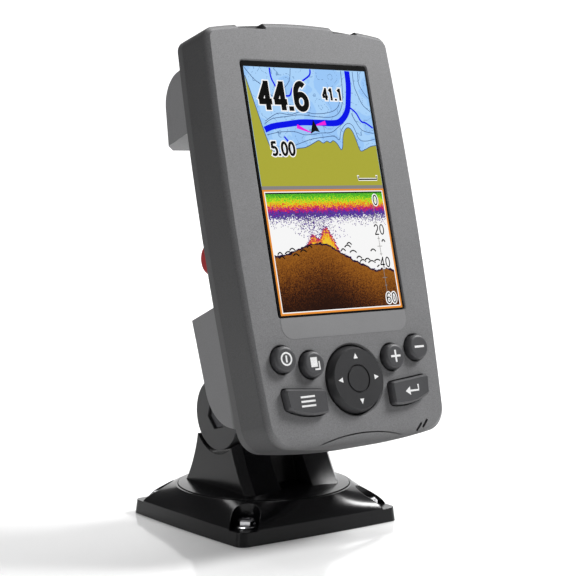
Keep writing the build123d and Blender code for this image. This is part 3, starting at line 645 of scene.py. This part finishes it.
def sonarFilm(x0, x1, z0, z1):
    material, tree, shader = newMaterial("screenSonar")
    dots = facePlace(tree)
    parts = addNode(tree, "ShaderNodeSeparateXYZ", None, Vector=dots)
    across = stretched(tree, parts.outputs["X"], x0, x1)
    deep = stretched(tree, parts.outputs["Y"], z1, z0)
    speck = addNode(tree, "ShaderNodeTexWhiteNoise", {"noise_dimensions": "2D"}, Vector=dots).outputs["Value"]
    wave = addNode(tree, "ShaderNodeTexNoise", None, Vector=dots, Scale=0.5, Detail=4.0).outputs["Fac"]
    clump = addNode(tree, "ShaderNodeTexNoise", None, Vector=dots, Scale=1.6, Detail=3.0).outputs["Fac"]
    wobble = maths(tree, "MULTIPLY_ADD", wave, 0.045, -0.022)
    ground = maths(tree, "ADD", lineCurve(tree, across, sonarPlan["ground"]), wobble)
    ragged = maths(tree, "MULTIPLY_ADD", clump, 0.16, maths(tree, "ADD", wobble, -0.085))
    weed = maths(tree, "ADD", lineCurve(tree, across, sonarPlan["weed"]), ragged)
    # surface clutter: green at the top, through yellow, red and purple to clear water
    thin = maths(tree, "MULTIPLY_ADD", wave, -0.09, 0.27)
    level = maths(tree, "DIVIDE", deep, thin)
    uneven = maths(tree, "MULTIPLY_ADD", clump, 0.4, -0.33)
    grainy = maths(tree, "MULTIPLY_ADD", speck, 0.27, uneven)
    clutter = rampNode(tree, maths(tree, "ADD", level, grainy), sonarPlan["clutterTones"])
    # loose specks that thin out with depth, and a plume leaning towards the middle
    lean = maths(tree, "MULTIPLY_ADD", deep, -0.75, across)
    offPlume = maths(tree, "ABSOLUTE", maths(tree, "SUBTRACT", lean, 0.15))
    plume = maths(tree, "MULTIPLY", stretched(tree, offPlume, 0.24, 0.03), stretched(tree, deep, 0.42, 0.2))
    fade = stretched(tree, deep, 0.31, 0.14, 0.0, 0.55)
    chance = maths(tree, "MAXIMUM", fade, maths(tree, "MULTIPLY", plume, 0.95))
    patchy = maths(tree, "MULTIPLY", chance, stretched(tree, clump, 0.3, 0.55))
    below = maths(tree, "GREATER_THAN", level, 0.72)
    isSpeck = maths(tree, "LESS_THAN", speck, maths(tree, "MULTIPLY", patchy, below))
    tone = rampNode(tree, clump, sonarPlan["speckTones"])
    water = blended(tree, isSpeck, clutter.outputs["Color"], tone.outputs["Color"])
    # weed standing on the ground
    inWeed = maths(tree, "LESS_THAN", weed, deep)
    inside = maths(tree, "MULTIPLY", maths(tree, "SUBTRACT", deep, weed), 5.0)
    heat = maths(tree, "ADD", inside, maths(tree, "MULTIPLY_ADD", clump, 2.6, -1.12))
    weedTone = rampNode(tree, heat, sonarPlan["weedTones"])
    water = blended(tree, inWeed, water, weedTone.outputs["Color"])
    # the ground: bright at its top, darker and grainy below
    under = maths(tree, "SUBTRACT", deep, ground)
    fleck = maths(tree, "MULTIPLY_ADD", speck, 0.55, -0.25)
    sunk = maths(tree, "MULTIPLY", under, 2.1)
    soil = rampNode(tree, maths(tree, "ADD", sunk, fleck), sonarPlan["soilTones"])
    inGround = maths(tree, "GREATER_THAN", under, 0.0)
    withGround = blended(tree, inGround, water, soil.outputs["Color"])
    rim = maths(tree, "LESS_THAN", maths(tree, "ABSOLUTE", under), sonarPlan["rimWidth"])
    lightUp(tree, shader, blended(tree, rim, withGround, sonarPlan["rimTone"]))
    return material


def archLine(x, z, width):
    return smoothLine([(x - width / 2, z - 0.5), (x - width / 4, z + 0.1), (x, z + 0.3),
                       (x + width / 4, z + 0.05), (x + width / 2, z - 0.6)])


def scaleLoops(low, top):
    # one upright line with marks across it, every second one longer
    middle, half = sonarPlan["scale"], sonarPlan["scaleLine"]
    loops = [boxLoop(middle - half, low + 3, middle + half, top - 4)]
    for step in range(1, sonarPlan["scaleMarks"] + 1):
        reach = sonarPlan["shortMark"] if step % 2 else sonarPlan["longMark"]
        z = top - sonarPlan["scaleTop"] - step * sonarPlan["scaleStep"]
        loops.append(boxLoop(middle - reach, z, middle + reach, z + sonarPlan["markHeight"]))
    return loops


def addSonar():
    left, right, low = displayPlan["left"], displayPlan["right"], displayPlan["bottom"]
    top = displayPlan["split"] - displayPlan["splitHeight"] / 2
    edge, inner = sonarPlan["frame"], sonarPlan["frame"] + sonarPlan["inner"]
    outerBox = boxLoop(left, low, right, top)
    edgeBox = boxLoop(left + edge, low + edge, right - edge, top - edge)
    x0, x1, z0, z1 = left + inner, right - inner, low + inner, top - inner
    split = boxLoop(left, top, right, top + displayPlan["splitHeight"])
    addDrawing("screenSplit", [split], screenGrey, layer["band"])
    addDrawing("sonarFrame", [outerBox, edgeBox], screenOrange, layer["line"])
    addDrawing("sonarInner", [edgeBox, boxLoop(x0, z0, x1, z1)], screenWhite, layer["line"])
    under = z1 - sonarPlan["topLine"]
    addDrawing("sonarPicture", [boxLoop(x0, z0, x1, z1)], sonarFilm(x0, x1, z0, under), layer["picture"])
    addDrawing("sonarTopLine", [boxLoop(x0, under, x1, z1)], screenBlack, layer["area"])
    arches = [strokeLoop(archLine(*arch), sonarPlan["archStroke"]) for arch in sonarPlan["arches"]]
    addDrawing("sonarArches", arches, screenBlack, layer["line"])
    addDrawing("sonarScale", scaleLoops(z0, z1), screenGrey, layer["scale"])
    numbers = [(text, x, z1 - drop, sonarPlan["numberHeight"], sonarPlan["numberStroke"])
               for text, x, drop in sonarPlan["numbers"]]
    addNumbers("sonarNumbers", numbers, layer["number"])


addChart()
addSonar()
print("display drawn")


# white legends on the keys and the cursor pad
keyPlan = {
    "capFront": -2.9, "padFront": -2.7, "lift": 0.015, "thick": 0.03,  # depths from the face
    "outer": 32.7, "inner": 19.9, "wide": 25.6,  # places across
    "roundRow": -57.0, "innerRow": -59.8, "wideRow": -73.4, "padRow": -67.0,  # places up
    "ring": 2.6, "ringHole": 1.92, "powerBar": (0.38, 1.3), "markReach": 2.4, "markHalf": 0.42,
    "arrow": 2.1, "arrowReach": 8.8, "menuBar": (3.3, 0.36), "menuStep": 1.7, "enterStroke": 0.75,
}


def addLegend(name, loops, body, front=keyPlan["capFront"]):
    depth = front - keyPlan["lift"]
    addDrawing(name, loops, finish["legendWhite"], depth, body, keyPlan["thick"])


def middleBox(x, z, halfWide, halfHigh):
    return boxLoop(x - halfWide, z - halfHigh, x + halfWide, z + halfHigh)


def quarterTurns(points):
    # the same points four times over, a quarter turn apart, as four lists
    copies = [points]
    while len(copies) < 4:
        copies.append([(-py, px) for px, py in copies[-1]])
    return copies


def moved(points, x, z):
    return [(x + px, z + pz) for px, pz in points]


def crossLoop(reach, half):
    # outline of a plus
    return sum(quarterTurns([(half, -half), (reach, -half), (reach, half)]), [])


def arrowLoops():
    # four small triangles pointing out from the middle of the pad
    far, near = keyPlan["arrowReach"] + keyPlan["arrow"] * 0.5, keyPlan["arrowReach"] - keyPlan["arrow"] * 0.5
    half = keyPlan["arrow"] * 0.48
    loops = quarterTurns([(far, 0), (near, half), (near, -half)])
    return [moved(loop, 0, keyPlan["padRow"]) for loop in loops]


def addLegends():
    x, z = -keyPlan["outer"], keyPlan["roundRow"]
    ring = [discLoop(x, z, keyPlan[size]) for size in ("ring", "ringHole")]
    addLegend("powerRing", ring, "power_key")
    addLegend("powerBar", [middleBox(x, z, *keyPlan["powerBar"])], "power_key")
    x, z = -keyPlan["inner"], keyPlan["innerRow"]
    backSheet = [(x - 0.2, z - 2.4), (x + 2.3, z - 2.4), (x + 2.3, z + 0.9), (x + 1.7, z + 0.9),
                 (x + 1.7, z - 1.8), (x - 0.2, z - 1.8)]
    addLegend("pagesBack", [backSheet], "pages_key")
    addLegend("pagesFront", [boxLoop(x - 1.9, z - 1.2, x + 1.2, z + 2.5)], "pages_key")
    reach, half = keyPlan["markReach"], keyPlan["markHalf"]
    addLegend("plusMark", [moved(crossLoop(reach, half), keyPlan["inner"], z)], "zoom_in_key")
    addLegend("minusMark", [middleBox(keyPlan["outer"], keyPlan["roundRow"], reach, half)], "zoom_out_key")
    addLegend("padArrows", arrowLoops(), "cursor", keyPlan["padFront"])
    x, z = keyPlan["wide"], keyPlan["wideRow"]
    bars = [middleBox(-x, z + row * keyPlan["menuStep"], *keyPlan["menuBar"]) for row in (-1, 0, 1)]
    addLegend("menuBars", bars, "menu_key")
    stem = [(x + 3.2, z + 1.8), (x + 3.2, z - 0.5), (x - 1.2, z - 0.5)]
    addLegend("enterStem", [strokeLoop(stem, keyPlan["enterStroke"])], "enter_key")
    addLegend("enterHead", [[(x - 3.5, z - 0.5), (x - 1.1, z + 1.2), (x - 1.1, z - 2.2)]], "enter_key")


addLegends()
print("key legends added")


# smooth panel under the window
apronPlan = {"half": 30.6, "top": -41.5, "bottom": -49.6, "corner": 5.0, "depth": -0.03, "thick": 0.08}


def addApron():
    half, top, low, corner = (apronPlan[key] for key in ("half", "top", "bottom", "corner"))
    loop = [(half, top)] + arcPoints(half - corner, low + corner, corner, 0, -90, 8)
    loop += arcPoints(-half + corner, low + corner, corner, -90, -180, 8) + [(-half, top)]
    addDrawing("windowApron", [loop], finish["panelGrey"], apronPlan["depth"], "head",
               apronPlan["thick"])


addApron()


# deck screws with hexagon washer heads, seated in the base's recesses
screwPlan = {"spacing": 62.0, "seat": 5.5, "flange": 4.5, "flangeHeight": 0.8, "hex": 3.75, "hexHeight": 3.3,
             "crossWidth": 0.85, "crossReach": 2.0, "crossDepth": 1.2, "shank": 1.75}


def ringVerts(bm, radius, height, count):
    return [bm.verts.new((x, y, height)) for x, y in discLoop(0, 0, radius, count)]


def bridge(bm, lower, upper):
    # faces between two rings with the same number of points
    count = len(lower)
    for k in range(count):
        bm.faces.new((lower[k], lower[(k + 1) % count], upper[(k + 1) % count], upper[k]))


def ringEdges(bm, ring):
    return [bm.edges.get((ring[k - 1], ring[k])) for k in range(len(ring))]


def screwMesh(name):
    bm = bmesh.new()
    shank, flange, hexagon = screwPlan["shank"], screwPlan["flange"], screwPlan["hex"]
    foot, flangeTop, top = 0.4 - screwPlan["seat"], screwPlan["flangeHeight"], screwPlan["hexHeight"]
    profile = [(shank, foot), (shank, 0), (flange - 0.2, 0), (flange, 0.2), (flange, 0.45),
               (flange - 0.6, flangeTop), (hexagon - 0.5, flangeTop + 0.1)]
    rings = [ringVerts(bm, radius, height, 36) for radius, height in profile]
    bm.faces.new(rings[0])
    for lower, upper in zip(rings[:-1], rings[1:]):
        bridge(bm, lower, upper)
    levels = [(hexagon, flangeTop - 0.2), (hexagon, top - 0.5), (hexagon - 0.75, top)]
    sides = [ringVerts(bm, radius, height, 6) for radius, height in levels]
    for lower, upper in zip(sides[:-1], sides[1:]):
        bridge(bm, lower, upper)
    # the cross slot sunk in the head's top
    cross = crossLoop(screwPlan["crossReach"], screwPlan["crossWidth"] / 2)
    mouth = [bm.verts.new((x, y, top)) for x, y in cross]
    pit = [bm.verts.new((x * 0.7, y * 0.7, top - screwPlan["crossDepth"])) for x, y in cross]
    bridge(bm, mouth, pit)
    bm.faces.new(pit)
    bmesh.ops.triangle_fill(bm, use_beauty=True, edges=ringEdges(bm, sides[-1]) + ringEdges(bm, mouth))
    return meshFromBmesh(name, bm)


def addDeckScrews():
    half, seat = screwPlan["spacing"] / 2, screwPlan["seat"]
    for index, (sx, sy) in enumerate(((-1, -1), (1, -1), (1, 1), (-1, 1))):
        name = "deckScrew" + str(index + 1)
        turn = Matrix.Rotation(math.radians(17 + 41 * index), 4, "Z")  # no two stop at the same angle
        place = Matrix.Translation(Vector((sx * half, sy * half, seat)) * mm) @ turn @ Matrix.Scale(mm, 4)
        addPiece(name, screwMesh(name), finish["screwBright"], "base", place, smooth=False)


addDeckScrews()
print("apron and deck screws added")


# camera at the rest view
cameraPlan = {"turn": -36.92, "rise": 4.6, "distance": 0.63988, "lens": 96.14, "target": (0.0126, 0, 0.09437)}


def addCamera():
    turn, rise = math.radians(cameraPlan["turn"]), math.radians(cameraPlan["rise"])
    outward = Vector((math.sin(turn) * math.cos(rise), -math.cos(turn) * math.cos(rise), math.sin(rise)))
    data = bpy.data.cameras.new("viewCamera")
    data.lens = cameraPlan["lens"]
    data.clip_start = 0.01
    camera = bpy.data.objects.new("viewCamera", data)
    camera.location = Vector(cameraPlan["target"]) + outward * cameraPlan["distance"]
    camera.rotation_euler = outward.to_track_quat("Z", "Y").to_euler()
    scene.collection.objects.link(camera)
    scene.camera = camera


addCamera()

# pale sweep and soft studio light
studio = {"paint": (0.92, 0.92, 0.92), "lift": 0.9, "nearLift": 0.12, "air": 0.13, "near": -1.2, "depth": 1.8,
          "bend": 0.9, "bendSteps": 12, "height": 2.6, "half": 1.3, "drop": 0.0002, "aim": (0, 0, 0.09),
          "glowFrom": 0.1, "glowTo": 2.2}
lampPlans = [
    {"name": "keyPanel", "place": (1.1, -0.5, 1.2), "size": (0.5, 0.5), "power": 30},
    {"name": "topPanel", "place": (0.25, 0.35, 1.2), "size": (0.9, 0.6), "power": 8},
    {"name": "leftPanel", "place": (-1.2, -0.1, 0.45), "size": (0.25, 0.8), "power": 1.5},
]


def sweepMesh():
    # floor that bends up into a wall behind the part, square to the camera
    profile = [(studio["near"], 0.0), (studio["depth"], 0.0)]
    for step in range(1, studio["bendSteps"] + 1):
        angle = math.radians(90 * step / studio["bendSteps"])
        forward, up = studio["bend"] * math.sin(angle), studio["bend"] * (1 - math.cos(angle))
        profile.append((studio["depth"] + forward, up))
    profile.append((studio["depth"] + studio["bend"], studio["height"]))
    bm = bmesh.new()
    rows = [[bm.verts.new((side * studio["half"], y, z - studio["drop"])) for side in (-1, 1)]
            for y, z in profile]
    for near, far in zip(rows[:-1], rows[1:]):
        bm.faces.new((near[0], near[1], far[1], far[0]))
    mesh = meshFromBmesh("sweep", bm)
    mesh.transform(Matrix.Rotation(math.radians(cameraPlan["turn"]), 4, "Z"))
    return mesh


def addStudio():
    mesh = sweepMesh()
    material, tree, shader = newMaterial("sweepPaint")
    place = addNode(tree, "ShaderNodeTexCoord").outputs["Object"]
    cloud = noiseNode(tree, place, 400, 2)
    worn = [c * 0.985 for c in studio["paint"]]
    tone = rampNode(tree, cloud.outputs["Fac"], [(0.3, worn), (0.7, studio["paint"])])
    tree.links.new(tone.outputs["Color"], shader.inputs["Base Color"])
    tree.links.new(tone.outputs["Color"], shader.inputs["Emission Color"])
    # the paint glows a little, more towards the wall, so the background stays even
    turn = math.radians(cameraPlan["turn"])
    away = addNode(tree, "ShaderNodeVectorMath", {"operation": "DOT_PRODUCT"}, i0=place,
                   i1=(-math.sin(turn), math.cos(turn), 0))
    glow = stretched(tree, away.outputs["Value"], studio["glowFrom"], studio["glowTo"],
                     studio["nearLift"], studio["lift"])
    tree.links.new(glow, shader.inputs["Emission Strength"])
    shader.inputs["Roughness"].default_value = 0.1
    shader.inputs["Specular IOR Level"].default_value = 0.15
    mesh.materials.append(material)
    for polygon in mesh.polygons:
        polygon.use_smooth = True
    sweep = bpy.data.objects.new("sweep", mesh)
    scene.collection.objects.link(sweep)
    world = bpy.data.worlds.new("studioAir")
    world.use_nodes = True
    background = world.node_tree.nodes["Background"]
    background.inputs["Color"].default_value = (1, 1, 1, 1)
    background.inputs["Strength"].default_value = studio["air"]
    scene.world = world
    for plan in lampPlans:
        data = bpy.data.lights.new(plan["name"], "AREA")
        data.shape = "RECTANGLE"
        data.size, data.size_y = plan["size"]
        data.energy = plan["power"]
        lamp = bpy.data.objects.new(plan["name"], data)
        lamp.location = plan["place"]
        aim = Vector(plan["place"]) - Vector(studio["aim"])
        lamp.rotation_euler = aim.to_track_quat("Z", "Y").to_euler()
        lamp.visible_camera = False  # not seen by the camera directly
        scene.collection.objects.link(lamp)


addStudio()
scene.view_settings.view_transform = "Standard"
print("camera and studio set")
